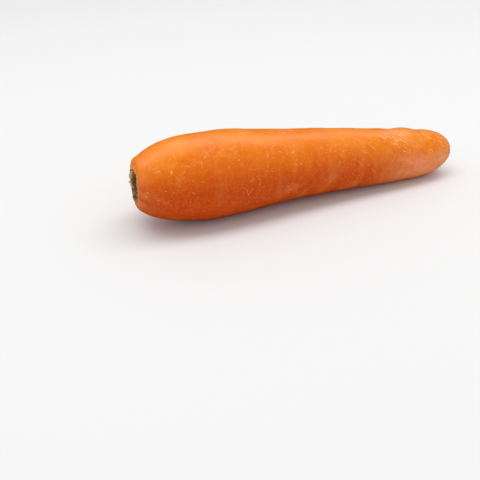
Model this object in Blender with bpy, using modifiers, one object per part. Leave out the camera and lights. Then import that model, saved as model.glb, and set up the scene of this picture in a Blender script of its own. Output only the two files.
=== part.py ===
"""A carrot as sold: a plump taproot with a blunt tip, trimmed of its leaves at the crown.

It lies on its side. +X runs from the crown to the tip, +Z is up, and the origin is the middle of the
box round the whole carrot, on the surface it lies on.
"""

import math

import bmesh
import bpy
from mathutils import Vector

# Driving dimensions, in metres and degrees
LENGTH = 0.185
SLOPE = 3.9  # the axis drops towards the tip by this much, because the root tapers
ARCH_ASIDE = 0.0013  # how far the middle of the axis bows towards +Y
ARCH_UP = 0.0009  # and upwards
REST_DEPTH = 0.0005  # how much of the underside is pressed flat where the root lies
SIDES = 56
OVALITY = 0.014  # how far the section is from round, as a share of the radius
OVAL_ANGLE = 0.6  # radians from the top to the section's widest line
LUMPINESS = 0.008  # a slow three-sided swelling that turns along the root
LUMP_TURN = 9.0  # radians it turns through from crown to tip
TIP_LIFT = 0.0011  # how far the very tip bends up
TIP_LIFT_START = 0.92  # the share of the length where that bend starts
CROWN_TILT = 4.8  # the rim of the crown leans out on its -Y side and a little at the top
CROWN_TILT_TURN = 21.0  # from -Y towards the top
CROWN_TILT_PIVOT = 0.0127  # how far from the axis, on the other side, the rim stays where it was
CROWN_TILT_REACH = 0.012  # how far behind the rim the lean dies out

# The root's outline from the rim of its crown to its tip: distance behind the rim, radius
ROOT_OUTLINE = (
    (0.0000, 0.0094),
    (0.0006, 0.0116),
    (0.0020, 0.0134),
    (0.0065, 0.0165),
    (0.0139, 0.0194),
    (0.0240, 0.0213),
    (0.0370, 0.0225),
    (0.0550, 0.0216),
    (0.0780, 0.0195),
    (0.1020, 0.0176),
    (0.1260, 0.0162),
    (0.1480, 0.0151),
    (0.1650, 0.0137),
    (0.1760, 0.0114),
    (0.1820, 0.0078),
    (0.1845, 0.0036),
    (LENGTH, 0.0),
)
STEPS_PER_SPAN = 3

# The hollow at the crown that the leaves grew out of
HOLLOW_DEPTH = 0.0034
HOLLOW_RADIUS = 0.0090
HOLLOW_FLOOR_RADIUS = 0.0083
GAP = 0.0003  # between neighbouring pieces

STUB_RADIUS = 0.0036
STUB_TOP = -0.0015  # height against the rim of the crown

# Shallow dents: distance behind the rim, angle round the axis from the top, depth, half-length, half-angle.
# One with a depth below zero is a low swelling.
DENTS = (
    (0.1470, 20.0, 0.0006, 0.004, 55.0),
    (0.1640, 5.0, 0.0008, 0.004, 70.0),
    (0.0920, -60.0, 0.0003, 0.007, 40.0),
    (0.1190, 150.0, 0.0004, 0.006, 45.0),
    (0.1380, 32.0, 0.0005, 0.014, 45.0),
    (0.0360, 32.0, 0.0004, 0.008, 40.0),
    (0.0510, 32.0, -0.0005, 0.009, 40.0),
    (0.1000, 32.0, -0.0004, 0.012, 40.0),
    (0.0780, -148.0, 0.0006, 0.028, 40.0),
    (0.1785, -140.0, 0.0007, 0.005, 50.0),
)

# The leaf stalks' dried bases: ring radius, middle angle, span, half-thickness, height against the rim
STALKS = (
    (0.0049, 200.0, 110.0, 0.00090, -0.0018),
    (0.0049, 80.0, 108.0, 0.00085, 0.0000),
    (0.0050, 322.0, 106.0, 0.00095, -0.0017),
    (0.0071, 82.0, 94.0, 0.00095, 0.0010),
    (0.0071, 154.0, 38.0, 0.00085, -0.0006),
    (0.0071, 217.0, 78.0, 0.00090, -0.0012),
    (0.0071, 303.0, 84.0, 0.00095, -0.0014),
)
STALK_CUTS = 8  # along each stalk base
STALK_END_DROP = 0.0007  # how much lower a stalk base is at its two ends
STALK_END_THINNING = 0.5  # and how much thinner, as a share
STALK_BEVEL = 0.0002  # its top falls away outwards by this much each way

SURFACE_THICKNESS = 0.02  # of the block that presses the underside flat

COLLECTION = "carrot"
CUTTERS = "cutters"


def clear_scene():
    for old in list(bpy.data.objects):
        bpy.data.objects.remove(old, do_unlink=True)


def make_collection(name):
    collection = bpy.data.collections.new(name)
    bpy.context.scene.collection.children.link(collection)
    return collection


def make_material(name, colour, roughness):
    material = bpy.data.materials.new(name)
    material.use_nodes = True
    shader = material.node_tree.nodes["Principled BSDF"]
    shader.inputs["Base Color"].default_value = (*colour, 1.0)
    shader.inputs["Roughness"].default_value = roughness
    shader.inputs["Metallic"].default_value = 0.0
    material.diffuse_color = (*colour, 1.0)
    return material


def link_part(name, mesh, material, collection, axis):
    part = bpy.data.objects.new(name, mesh)
    part.data.materials.append(material)
    part.parent = axis
    collection.objects.link(part)
    return part


def smooth_through(points, steps):
    """Points along a Catmull-Rom curve that passes through the given ones."""
    padded = [points[0], *points, points[-1]]
    curve = []
    for i in range(len(points) - 1):
        a, b, c, d = (Vector(p) for p in padded[i : i + 4])
        for step in range(steps):
            t = step / steps
            curve.append(
                0.5
                * (
                    2 * b
                    + (c - a) * t
                    + (2 * a - 5 * b + 4 * c - d) * t**2
                    + (3 * b - a - 3 * c + d) * t**3
                )
            )
    curve.append(Vector(points[-1]))
    return curve


def turned_mesh(name, outline):
    """Turns an outline of (height, radius) points round Z. It runs down the piece's outer side."""
    mesh = bpy.data.meshes.new(name + "_outline")
    points = [(radius, 0.0, height) for height, radius in outline]
    edges = [(i, i + 1) for i in range(len(points) - 1)]
    mesh.from_pydata(points, edges, [])
    guide = bpy.data.objects.new(name + "_outline", mesh)
    bpy.context.scene.collection.objects.link(guide)
    screw = guide.modifiers.new("turn", "SCREW")
    screw.axis = "Z"
    screw.steps = SIDES
    screw.render_steps = SIDES
    screw.use_merge_vertices = True
    screw.merge_threshold = 0.00001
    bpy.context.view_layer.update()
    evaluated = guide.evaluated_get(bpy.context.evaluated_depsgraph_get())
    turned = bpy.data.meshes.new_from_object(evaluated)
    turned.name = name
    bpy.data.objects.remove(guide, do_unlink=True)
    turned.shade_smooth()
    return turned


def dent_depth(behind, angle):
    depth = 0.0
    for place, middle, deepest, half_length, half_angle in DENTS:
        along = (behind - place) / half_length
        turned = (angle - math.radians(middle) + math.pi) % math.tau - math.pi
        around = turned / math.radians(half_angle)
        depth += deepest * math.exp(-(along**2) - around**2)
    return depth


def crown_lean(behind, up, aside):
    """How far out of the crown the lean of its rim moves a point."""
    share = max(1.0 - max(behind, 0.0) / CROWN_TILT_REACH, 0.0)
    turn = math.radians(CROWN_TILT_TURN)
    towards = up * math.sin(turn) - aside * math.cos(turn)
    return math.tan(math.radians(CROWN_TILT)) * (CROWN_TILT_PIVOT + towards) * share**2


def lean_piece(mesh):
    """Sets a piece that stands in the hollow square to the leaning rim."""
    for vertex in mesh.vertices:
        vertex.co.z += crown_lean(-vertex.co.z, vertex.co.x, vertex.co.y)


def grow(mesh):
    """Makes the turned root a grown one: a little oval and lumpy, dented, and gently bowed."""
    for vertex in mesh.vertices:
        behind = -vertex.co.z
        share = min(max(behind / LENGTH, 0.0), 1.0)
        angle = math.atan2(vertex.co.y, vertex.co.x)
        radius = math.hypot(vertex.co.x, vertex.co.y)
        body = min(radius / STUB_RADIUS, 1.0) * math.sin(math.pi * share)
        oval = OVALITY * math.cos(2 * (angle - OVAL_ANGLE))
        swelling = LUMPINESS * math.cos(3 * angle + LUMP_TURN * share)
        radius *= 1.0 + body * (oval + swelling)
        radius -= dent_depth(behind, angle) * min(radius / STUB_RADIUS, 1.0)
        arch = 4.0 * share * (1.0 - share)
        lift = TIP_LIFT * max((share - TIP_LIFT_START) / (1.0 - TIP_LIFT_START), 0.0) ** 2
        vertex.co.x = radius * math.cos(angle) + ARCH_UP * arch + lift
        vertex.co.y = radius * math.sin(angle) + ARCH_ASIDE * arch
        vertex.co.z += crown_lean(behind, radius * math.cos(angle), radius * math.sin(angle))


def make_taproot(collection, axis):
    hollow = [
        (-HOLLOW_DEPTH, 0.0),
        (-HOLLOW_DEPTH, HOLLOW_FLOOR_RADIUS / 2),
        (-HOLLOW_DEPTH, HOLLOW_FLOOR_RADIUS),
        (-HOLLOW_DEPTH / 2, (HOLLOW_FLOOR_RADIUS + HOLLOW_RADIUS) / 2),
        (-HOLLOW_DEPTH / 10, HOLLOW_RADIUS),
    ]
    skin = [(-point.x, point.y) for point in smooth_through(ROOT_OUTLINE, STEPS_PER_SPAN)]
    mesh = turned_mesh("taproot", hollow + skin)
    grow(mesh)
    flesh = make_material("carrot_flesh", (0.80, 0.20, 0.025), 0.42)
    return link_part("taproot", mesh, flesh, collection, axis)


def make_stem_stub(collection, axis):
    bottom = -HOLLOW_DEPTH + GAP
    outline = [
        (STUB_TOP, 0.0),
        (STUB_TOP - 0.0001, STUB_RADIUS * 0.6),
        (STUB_TOP - 0.0004, STUB_RADIUS * 0.9),
        (STUB_TOP - 0.0010, STUB_RADIUS),
        (bottom, STUB_RADIUS * 0.95),
        (bottom, 0.0),
    ]
    mesh = turned_mesh("stem_stub", outline)
    lean_piece(mesh)
    pith = make_material("cut_stem", (0.47, 0.27, 0.11), 0.7)
    return link_part("stem_stub", mesh, pith, collection, axis)


def stalk_mesh(name, ring, middle, span, half_thickness, top):
    """A bar bent round the crown's middle: thickest and tallest half-way, thin at its two ends."""
    cage = bmesh.new()
    bmesh.ops.create_cube(cage, size=2.0)
    lengthways = [e for e in cage.edges if abs(e.verts[0].co.x - e.verts[1].co.x) > 1.0]
    bmesh.ops.subdivide_edges(cage, edges=lengthways, cuts=STALK_CUTS, use_grid_fill=True)
    bottom = -HOLLOW_DEPTH + GAP
    for vertex in cage.verts:
        along, across, up = vertex.co
        angle = math.radians(middle - along * span / 2)
        ends = along**2
        radius = ring + across * half_thickness * (1.0 - STALK_END_THINNING * ends)
        height = top - STALK_END_DROP * ends - STALK_BEVEL * across
        z = bottom if up < 0 else height
        vertex.co = (radius * math.cos(angle), radius * math.sin(angle), z)
    mesh = bpy.data.meshes.new(name)
    cage.to_mesh(mesh)
    cage.free()
    lean_piece(mesh)
    mesh.shade_smooth()
    return mesh


def make_leaf_stalks(collection, axis):
    dry = make_material("dried_stalk", (0.17, 0.12, 0.05), 0.85)
    for number, shape in enumerate(STALKS, 1):
        name = f"leaf_stalk_{number}"
        stalk = link_part(name, stalk_mesh(name, *shape), dry, collection, axis)
        soften = stalk.modifiers.new("soften", "SUBSURF")
        soften.levels = 1
        soften.render_levels = 1


def world_box(parts):
    corners = [p.matrix_world @ v.co for p in parts for v in p.data.vertices]
    low = Vector(min(c[i] for c in corners) for i in range(3))
    high = Vector(max(c[i] for c in corners) for i in range(3))
    return low, high


def lay_down(axis, taproot, parts):
    """Tips the axis so that the root lies on its side, and centres the carrot over the origin."""
    axis.rotation_euler = (0.0, math.radians(SLOPE - 90.0), 0.0)
    bpy.context.view_layer.update()
    low, high = world_box(parts)
    lowest = world_box([taproot])[0].z
    axis.location = (-(low.x + high.x) / 2, -(low.y + high.y) / 2, -lowest - REST_DEPTH)
    bpy.context.view_layer.update()


def press_flat(taproot, collection):
    """Cuts the root off level with the surface it lies on."""
    block = bmesh.new()
    bmesh.ops.create_cube(block, size=1.0)
    size = (1.5 * LENGTH, LENGTH, SURFACE_THICKNESS)
    bmesh.ops.scale(block, vec=size, verts=block.verts)
    bmesh.ops.translate(block, vec=(0.0, 0.0, -SURFACE_THICKNESS / 2), verts=block.verts)
    mesh = bpy.data.meshes.new("surface")
    block.to_mesh(mesh)
    block.free()
    surface = bpy.data.objects.new("surface", mesh)
    surface.display_type = "WIRE"
    surface.hide_render = True
    collection.objects.link(surface)
    cut = taproot.modifiers.new("pressed_flat", "BOOLEAN")
    cut.operation = "DIFFERENCE"
    cut.solver = "EXACT"
    cut.object = surface


def main():
    clear_scene()
    carrot = make_collection(COLLECTION)
    cutters = make_collection(CUTTERS)
    axis = bpy.data.objects.new("root_axis", None)
    carrot.objects.link(axis)
    taproot = make_taproot(carrot, axis)
    make_stem_stub(carrot, axis)
    make_leaf_stalks(carrot, axis)
    parts = [o for o in carrot.objects if o.type == "MESH"]
    lay_down(axis, taproot, parts)
    press_flat(taproot, cutters)


main()
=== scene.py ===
import math
import random

import bpy
import numpy as np
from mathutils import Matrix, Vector, noise


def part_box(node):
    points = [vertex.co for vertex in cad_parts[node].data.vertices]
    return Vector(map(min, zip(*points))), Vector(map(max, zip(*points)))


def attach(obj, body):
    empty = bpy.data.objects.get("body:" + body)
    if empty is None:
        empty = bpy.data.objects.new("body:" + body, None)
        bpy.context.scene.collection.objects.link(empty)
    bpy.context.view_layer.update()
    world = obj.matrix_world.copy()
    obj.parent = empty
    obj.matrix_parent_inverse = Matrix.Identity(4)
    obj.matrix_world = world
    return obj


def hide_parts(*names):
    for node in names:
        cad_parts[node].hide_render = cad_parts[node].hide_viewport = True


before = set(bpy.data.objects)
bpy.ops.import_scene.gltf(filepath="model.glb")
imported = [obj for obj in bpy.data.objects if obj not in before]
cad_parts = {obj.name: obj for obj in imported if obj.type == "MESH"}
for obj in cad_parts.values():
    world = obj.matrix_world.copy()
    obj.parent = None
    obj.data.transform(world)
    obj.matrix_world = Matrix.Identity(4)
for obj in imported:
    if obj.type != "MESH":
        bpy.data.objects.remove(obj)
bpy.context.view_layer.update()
print("frame loaded:", sorted(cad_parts))


# small tools for node trees

def feed(tree, socket, value):
    if isinstance(value, bpy.types.NodeSocket):
        tree.links.new(value, socket)
    else:
        socket.default_value = value


def feedAll(tree, node, values):
    for name, value in values.items():
        feed(tree, node.inputs[name], value)
    return node


def put(tree, kind, inputs=None, **settings):
    node = tree.nodes.new("ShaderNode" + kind)
    for name, value in settings.items():
        setattr(node, name, value)
    return feedAll(tree, node, inputs or {})


def calc(tree, operation, *values):
    node = put(tree, "Math", operation=operation)
    for socket, value in zip(node.inputs, values):
        feed(tree, socket, value)
    return node.outputs[0]


def product(tree, *values):
    total = values[0]
    for value in values[1:]:
        total = calc(tree, "MULTIPLY", total, value)
    return total


def vectorCalc(tree, operation, *values):
    node = put(tree, "VectorMath", operation=operation)
    for socket, value in zip(node.inputs, values):
        feed(tree, socket, value)
    return node.outputs[0]


def scaled(tree, vector, factor):
    node = put(tree, "VectorMath", {"Vector": vector, "Scale": factor}, operation="SCALE")
    return node.outputs[0]


def remap(tree, value, low, high, toLow=0.0, toHigh=1.0, smooth=True):
    node = put(tree, "MapRange", interpolation_type="SMOOTHSTEP" if smooth else "LINEAR")
    names = ("Value", "From Min", "From Max", "To Min", "To Max")
    return feedAll(tree, node, dict(zip(names, (value, low, high, toLow, toHigh)))).outputs["Result"]


def between(tree, share, atNone, atFull):
    return remap(tree, share, 0.0, 1.0, atNone, atFull, False)


def less(tree, value, taken):
    return calc(tree, "SUBTRACT", value, taken)


def plus(tree, *values):
    return calc(tree, "ADD", *values)


def either(tree, *values):
    return calc(tree, "MAXIMUM", *values)


def tint(tree, amount, below, above):
    node = put(tree, "Mix", data_type="RGBA")
    for name, value in (("Factor_Float", amount), ("A_Color", below), ("B_Color", above)):
        feed(tree, next(s for s in node.inputs if s.identifier == name), value)
    return next(s for s in node.outputs if s.identifier == "Result_Color")


def colour(red, green, blue):
    return (red, green, blue, 1.0)


def newGroup(name, inputs, outputs):
    tree = bpy.data.node_groups.new(name, "ShaderNodeTree")
    for label, kind, value in inputs:
        socket = tree.interface.new_socket(name=label, in_out="INPUT", socket_type="NodeSocket" + kind)
        if value is not None:
            socket.default_value = value
    for label, kind in outputs:
        tree.interface.new_socket(name=label, in_out="OUTPUT", socket_type="NodeSocket" + kind)
    return tree, tree.nodes.new("NodeGroupInput").outputs, tree.nodes.new("NodeGroupOutput").inputs


def maskOf(tree, group, vector, names, values):
    # what one of the shared effects puts out, laid over a vector with the given values
    node = put(tree, "Group", node_tree=group)
    feedAll(tree, node, {"Vector": vector, **dict(zip(names, values))})
    return node.outputs["Mask"]


def newMaterial(name):
    material = bpy.data.materials.new(name)
    material.use_nodes = True
    tree = material.node_tree
    return material, tree, tree.nodes["Principled BSDF"], put(tree, "TexCoord").outputs["Object"]


def valueOf(tree, name):
    return put(tree, "Attribute", attribute_name=name).outputs["Fac"]


def mapOf(tree, name):
    return put(tree, "UVMap", uv_map=name).outputs["UV"]


def grainOf(tree, vector, scale, detail):
    return put(tree, "TexNoise", {"Vector": vector, "Scale": scale, "Detail": detail}).outputs["Fac"]


def roughen(tree, shader, height, strength, distance):
    bump = put(tree, "Bump", {"Height": height, "Strength": strength, "Distance": distance})
    feed(tree, shader.inputs["Normal"], bump.outputs["Normal"])


# effects that several finishes share

def makeCloudGroup():
    # soft patches of a given size, 0 outside and 1 inside
    tree, given, made = newGroup(
        "cloudyPatches",
        [("Vector", "Vector", None), ("Size", "Float", 0.01), ("Detail", "Float", 3.0),
         ("Low", "Float", 0.45), ("High", "Float", 0.6), ("Seed", "Float", 0.0)],
        [("Mask", "Float")])
    moved = vectorCalc(tree, "ADD", given["Vector"], given["Seed"])
    pattern = put(tree, "TexNoise", {
        "Vector": moved,
        "Scale": calc(tree, "DIVIDE", 1.0, given["Size"]),
        "Detail": given["Detail"]})
    mask = remap(tree, pattern.outputs["Fac"], given["Low"], given["High"])
    feed(tree, made["Mask"], mask)
    return tree


def makeMarksGroup():
    # short bent strokes, one to a cell of a random pattern; a stroke as wide as it is long is a speck
    tree, given, made = newGroup(
        "scatteredMarks",
        [("Vector", "Vector", None), ("Cell", "Float", 0.006), ("Length", "Float", 0.002),
         ("Width", "Float", 0.0003), ("Bend", "Float", 0.5), ("Amount", "Float", 0.5),
         ("Heading", "Float", 0.0), ("Spread", "Float", math.tau), ("Seed", "Float", 0.0)],
        [("Mask", "Float")])
    cell = given["Cell"]
    at = scaled(tree, given["Vector"], calc(tree, "DIVIDE", 1.0, cell))
    at = vectorCalc(tree, "ADD", at, given["Seed"])
    cells = put(tree, "TexVoronoi", {"Vector": at, "Scale": 1.0, "Randomness": 1.0},
                voronoi_dimensions="2D")
    away = vectorCalc(tree, "SUBTRACT", at, cells.outputs["Position"])
    away = put(tree, "SeparateXYZ", {"Vector": away})
    chance = put(tree, "SeparateColor", {"Color": cells.outputs["Color"]})
    turn = calc(tree, "MULTIPLY_ADD", chance.outputs["Red"], given["Spread"], given["Heading"])
    cosTurn, sinTurn = (calc(tree, wave, turn) for wave in ("COSINE", "SINE"))
    x, y = (away.outputs[name] for name in "XY")
    along = plus(tree, product(tree, x, cosTurn), product(tree, y, sinTurn))
    across = less(tree, product(tree, y, cosTurn), product(tree, x, sinTurn))
    longest = calc(tree, "DIVIDE", given["Length"], cell)
    length = product(tree, longest, between(tree, chance.outputs["Green"], 0.35, 1.0))
    share = calc(tree, "DIVIDE", along, length)
    square = product(tree, share, share)
    lean = less(tree, chance.outputs["Blue"], 0.5)
    bow = product(tree, lean, given["Bend"], product(tree, square, length))
    width = calc(tree, "DIVIDE", given["Width"], cell)
    width = product(tree, width, between(tree, square, 1.0, 0.35))  # thinner at its ends
    side = calc(tree, "DIVIDE", calc(tree, "ABSOLUTE", less(tree, across, bow)), width)
    inLength = remap(tree, square, 0.35, 1.0, 1.0, 0.0)
    inWidth = remap(tree, side, 0.25, 1.0, 1.0, 0.0)
    luck = put(tree, "TexWhiteNoise", {"Vector": cells.outputs["Position"]}, noise_dimensions="2D")
    present = calc(tree, "LESS_THAN", luck.outputs["Value"], given["Amount"])
    strength = remap(tree, luck.outputs["Value"], 0.0, given["Amount"], 1.0, 0.25, False)
    feed(tree, made["Mask"], product(tree, inLength, inWidth, product(tree, present, strength)))
    return tree


def makeGrainGroup():
    # streaks that run one way: their pitch along the first direction, their reach along the second
    tree, given, made = newGroup(
        "stretchedGrain",
        [("Vector", "Vector", None), ("Pitch", "Float", 0.001), ("Reach", "Float", 0.02),
         ("Low", "Float", 0.4), ("High", "Float", 0.7), ("Seed", "Float", 0.0)],
        [("Mask", "Float")])
    parts = put(tree, "SeparateXYZ", {"Vector": given["Vector"]})
    pitched = calc(tree, "DIVIDE", parts.outputs["X"], given["Pitch"])
    reached = calc(tree, "DIVIDE", parts.outputs["Y"], given["Reach"])
    stretched = put(tree, "CombineXYZ", {"X": pitched, "Y": reached, "Z": given["Seed"]})
    pattern = put(tree, "TexNoise", {"Vector": stretched.outputs[0], "Scale": 1.0, "Detail": 2.0,
                                     "Roughness": 0.6})
    mask = remap(tree, pattern.outputs["Fac"], given["Low"], given["High"])
    feed(tree, made["Mask"], mask)
    return tree


cloudyPatches = makeCloudGroup()
scatteredMarks = makeMarksGroup()
stretchedGrain = makeGrainGroup()


def cloudMask(tree, vector, *values):
    return maskOf(tree, cloudyPatches, vector, ("Size", "Low", "High", "Seed", "Detail"), values)


def streakMask(tree, vector, *values):
    return maskOf(tree, stretchedGrain, vector, ("Pitch", "Reach", "Low", "High", "Seed"), values)


def strokeMask(tree, vector, *values):
    names = ("Cell", "Length", "Width", "Bend", "Amount", "Seed", "Heading", "Spread")
    return maskOf(tree, scatteredMarks, vector, names, values)


print("shared effects made")


# the root's shape, in metres and degrees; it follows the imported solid's, with a finer rim and hollow
rootShape = {
    "length": 0.185,
    "slope": 3.9,  # the axis drops towards the tip
    "bowAside": 0.0013,
    "bowUp": 0.0009,
    "oval": 0.014,
    "ovalAngle": 0.6,  # radians, and so is swellingTurn
    "swelling": 0.008,
    "swellingTurn": 9.0,
    "tipLift": 0.0011,
    "tipLiftStart": 0.92,
    "crownTilt": 4.8,  # the rim leans out on its -Y side and a little at the top
    "crownTiltTurn": 21.0,
    "crownTiltPivot": 0.0127,
    "crownTiltReach": 0.012,
    # distance behind the crown's rim, radius
    "hollow": [(0.0034, 0.0), (0.0034, 0.0042), (0.00335, 0.0074), (0.0029, 0.0082),
               (0.0016, 0.0086), (0.0006, 0.0088), (0.0001, 0.0091)],
    "skin": [(0.0000, 0.0095), (0.0006, 0.0116), (0.0020, 0.0134), (0.0065, 0.0165),
             (0.0139, 0.0194), (0.0240, 0.0213), (0.0370, 0.0225), (0.0550, 0.0216),
             (0.0780, 0.0195), (0.1020, 0.0176), (0.1260, 0.0162), (0.1480, 0.0151),
             (0.1650, 0.0137), (0.1760, 0.0114), (0.1820, 0.0078), (0.1845, 0.0036),
             (0.1850, 0.0)],
    "around": 256,
    "restHeight": 0.00005,  # it is flat where it rests on the surface
    "crownCap": 0.006,  # the ends have a map of their own this far from the rim and from the tip
    "tipCap": 0.010,
    # how far apart the rows of points are: up to each distance from the rim, near the tip, and between
    "crownPitch": [(-0.0042, 0.0007), (0.005, 0.00024), (0.03, 0.00045)],
    "tipPitch": (0.03, 0.00045),
    "middlePitch": 0.00062,
    "seamRadius": 0.02,  # turns an angle into a length on the skin's map
}

# the root's relief, in metres and degrees
rootRelief = {
    "seed": 11,
    # distance behind the rim, angle from the top, depth, half-length, half-angle
    "dents": [(0.1470, 20.0, 0.0006, 0.004, 55.0), (0.1640, 5.0, 0.0008, 0.004, 70.0),
              (0.0920, -60.0, 0.0003, 0.007, 40.0), (0.1190, 150.0, 0.0004, 0.006, 45.0),
              (0.1380, 32.0, 0.0005, 0.014, 45.0), (0.0360, 32.0, 0.0004, 0.008, 40.0),
              (0.0510, 32.0, -0.0005, 0.009, 40.0), (0.1000, 32.0, -0.0004, 0.012, 40.0),
              (0.0780, -148.0, 0.0006, 0.028, 40.0), (0.1785, -140.0, 0.0007, 0.005, 50.0)],
    # shallow cross creases too small for the solid
    "creases": [(0.1340, -70.0, 0.00042, 0.0020, 30.0), (0.1530, -100.0, 0.00035, 0.0030, 45.0),
                (0.1060, -85.0, 0.00034, 0.0020, 30.0), (0.1720, 80.0, 0.00035, 0.0030, 45.0),
                (0.0700, 100.0, 0.00025, 0.0045, 45.0), (0.1255, -75.0, 0.00042, 0.0017, 28.0),
                (0.1185, -65.0, 0.00044, 0.0017, 26.0), (0.1125, -72.0, 0.00036, 0.0015, 24.0),
                (0.1420, -85.0, 0.00036, 0.0020, 30.0), (0.1600, 110.0, 0.00034, 0.0022, 30.0),
                (0.1280, 90.0, 0.00028, 0.0020, 30.0), (0.1200, 75.0, 0.00028, 0.0020, 28.0)],
    # places that stand proud, given the same way but by path from the rim, negative in the hollow
    "swells": [(0.0028, 22.0, 0.0006, 0.0026, 48.0), (-0.0011, 18.0, 0.0011, 0.0012, 34.0)],
    "lumps": [(0.026, 0.00030), (0.011, 0.00017), (0.0042, 0.00005)],  # size, height
    "grooves": 120,
    "grooveEnds": (0.022, 0.006),  # none this near the rim and this near the tip
    "grooveDepth": (0.00005, 0.00016),
    "grooveHalfWidth": (0.00035, 0.0008),
    "grooveHalfAngle": (8.0, 34.0),
    "grooveLean": 0.0015,
    "tailGrooves": (0.45, 0.55, 0.97),  # this share of them lies between these shares of the length
    "fadeIn": (0.004, 0.01),  # the relief starts this far from the rim and is full this much further on
    "fadeOut": 0.006,  # and it dies out this near the tip
    # bands across the root: height, middle along the path, half-width
    "crownWrinkles": (0.000208, 0.0022, 0.0022),
    "raggedRim": (0.00042, 0.0003, 0.0009),
    "wallLumps": (0.0002, -0.0018, 0.0016),
    "wallLumpSize": 0.0012,
    "tipWrinkles": (0.000168, 0.0030, 0.0030),  # from the tip
}


def smoothThrough(points, steps):
    padded = [points[0], *points, points[-1]]
    curve = []
    for i in range(len(points) - 1):
        a, b, c, d = (np.array(p) for p in padded[i:i + 4])
        for t in np.arange(steps) / steps:
            curve.append(0.5 * (2 * b + (c - a) * t + (2 * a - 5 * b + 4 * c - d) * t**2
                                + (3 * b - a - 3 * c + d) * t**3))
    curve.append(np.array(points[-1]))
    return np.array(curve)


def rowPitch(fromRim, toTip):
    for limit, pitch in rootShape["crownPitch"]:
        if fromRim < limit:
            return pitch
    limit, pitch = rootShape["tipPitch"]
    return pitch if toTip < limit else rootShape["middlePitch"]


def outlineRows():
    # rows down the outline: distance behind the rim, radius, and path from the rim, negative in the hollow
    steps = 60
    fine = smoothThrough(rootShape["hollow"] + rootShape["skin"], steps)
    path = np.concatenate([[0.0], np.cumsum(np.hypot(*np.diff(fine, axis=0).T))])
    rim = path[steps * len(rootShape["hollow"])]
    places = [0.0]
    while places[-1] < path[-1]:
        places.append(places[-1] + rowPitch(places[-1] - rim, path[-1] - places[-1]))
    places[-1] = path[-1]
    behind = np.interp(places, path, fine[:, 0])
    radius = np.interp(places, path, fine[:, 1])
    radius[-1] = 0.0
    return behind, radius, np.array(places) - rim


def noiseOver(points, size, seed):
    shift = Vector((seed * 7.3, seed * 3.1, seed * 5.7))
    flat = points.reshape(-1, 3) / size
    values = [noise.noise(Vector(p) + shift) for p in flat]
    return np.array(values).reshape(points.shape[:-1])


def noiseRound(angles, scale, seed):
    circle = np.stack([np.cos(angles), np.sin(angles)], 1) * scale
    return np.array([noise.noise(Vector((x, y, seed))) for x, y in circle])


def turnedFrom(angles, middle):
    return (angles - math.radians(middle) + math.pi) % math.tau - math.pi


def rowPlace(points):
    # from the root's own axis (x up, y aside, z out of the crown) to the row frame, before centring
    tip = math.radians(rootShape["slope"] - 90.0)
    x, y, z = points[..., 0], points[..., 1], points[..., 2]
    return np.stack([x * math.cos(tip) + z * math.sin(tip), y,
                     -x * math.sin(tip) + z * math.cos(tip)], -1)


def crownLean(behind, up, aside):
    share = np.clip(1.0 - np.maximum(behind, 0.0) / rootShape["crownTiltReach"], 0.0, 1.0)
    turn = math.radians(rootShape["crownTiltTurn"])
    towards = up * math.sin(turn) - aside * math.cos(turn)
    tilt = math.tan(math.radians(rootShape["crownTilt"]))
    return tilt * (rootShape["crownTiltPivot"] + towards) * share**2


def rootGrid(behind, radius, angles, relief):
    share = np.clip(behind / rootShape["length"], 0.0, 1.0)[:, None]
    body = np.minimum(radius / 0.0036, 1.0)[:, None] * np.sin(math.pi * share)
    oval = rootShape["oval"] * np.cos(2 * (angles - rootShape["ovalAngle"]))
    swelling = rootShape["swelling"] * np.cos(3 * angles + rootShape["swellingTurn"] * share)
    slope = np.gradient(np.stack([behind, radius]), axis=1)
    slope /= np.maximum(np.hypot(*slope), 1e-12)
    outward = radius[:, None] * (1.0 + body * (oval + swelling)) + slope[0][:, None] * relief
    back = behind[:, None] - slope[1][:, None] * relief
    bow = 4.0 * share * (1.0 - share)
    nearTip = np.maximum((share - rootShape["tipLiftStart"]) / (1.0 - rootShape["tipLiftStart"]), 0.0)
    lift = rootShape["bowUp"] * bow + rootShape["tipLift"] * nearTip**2
    up = outward * np.cos(angles)
    aside = outward * np.sin(angles)
    return np.stack([up + lift, aside + rootShape["bowAside"] * bow,
                     -back + crownLean(behind[:, None], up, aside)], -1)


def dentsIn(along, angles, dents):
    # how deep the given dents are at each place
    depth = np.zeros((len(along), len(angles)))
    for place, middle, deepest, halfLength, halfAngle in dents:
        near = ((along - place) / halfLength)[:, None]
        around = turnedFrom(angles, middle) / math.radians(halfAngle)
        depth += deepest * np.exp(-near**2 - around**2)
    return depth


def bandOf(name, path):
    height, middle, halfWidth = rootRelief[name]
    return height * np.exp(-((path - middle) / halfWidth) ** 2)[:, None]


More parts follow.
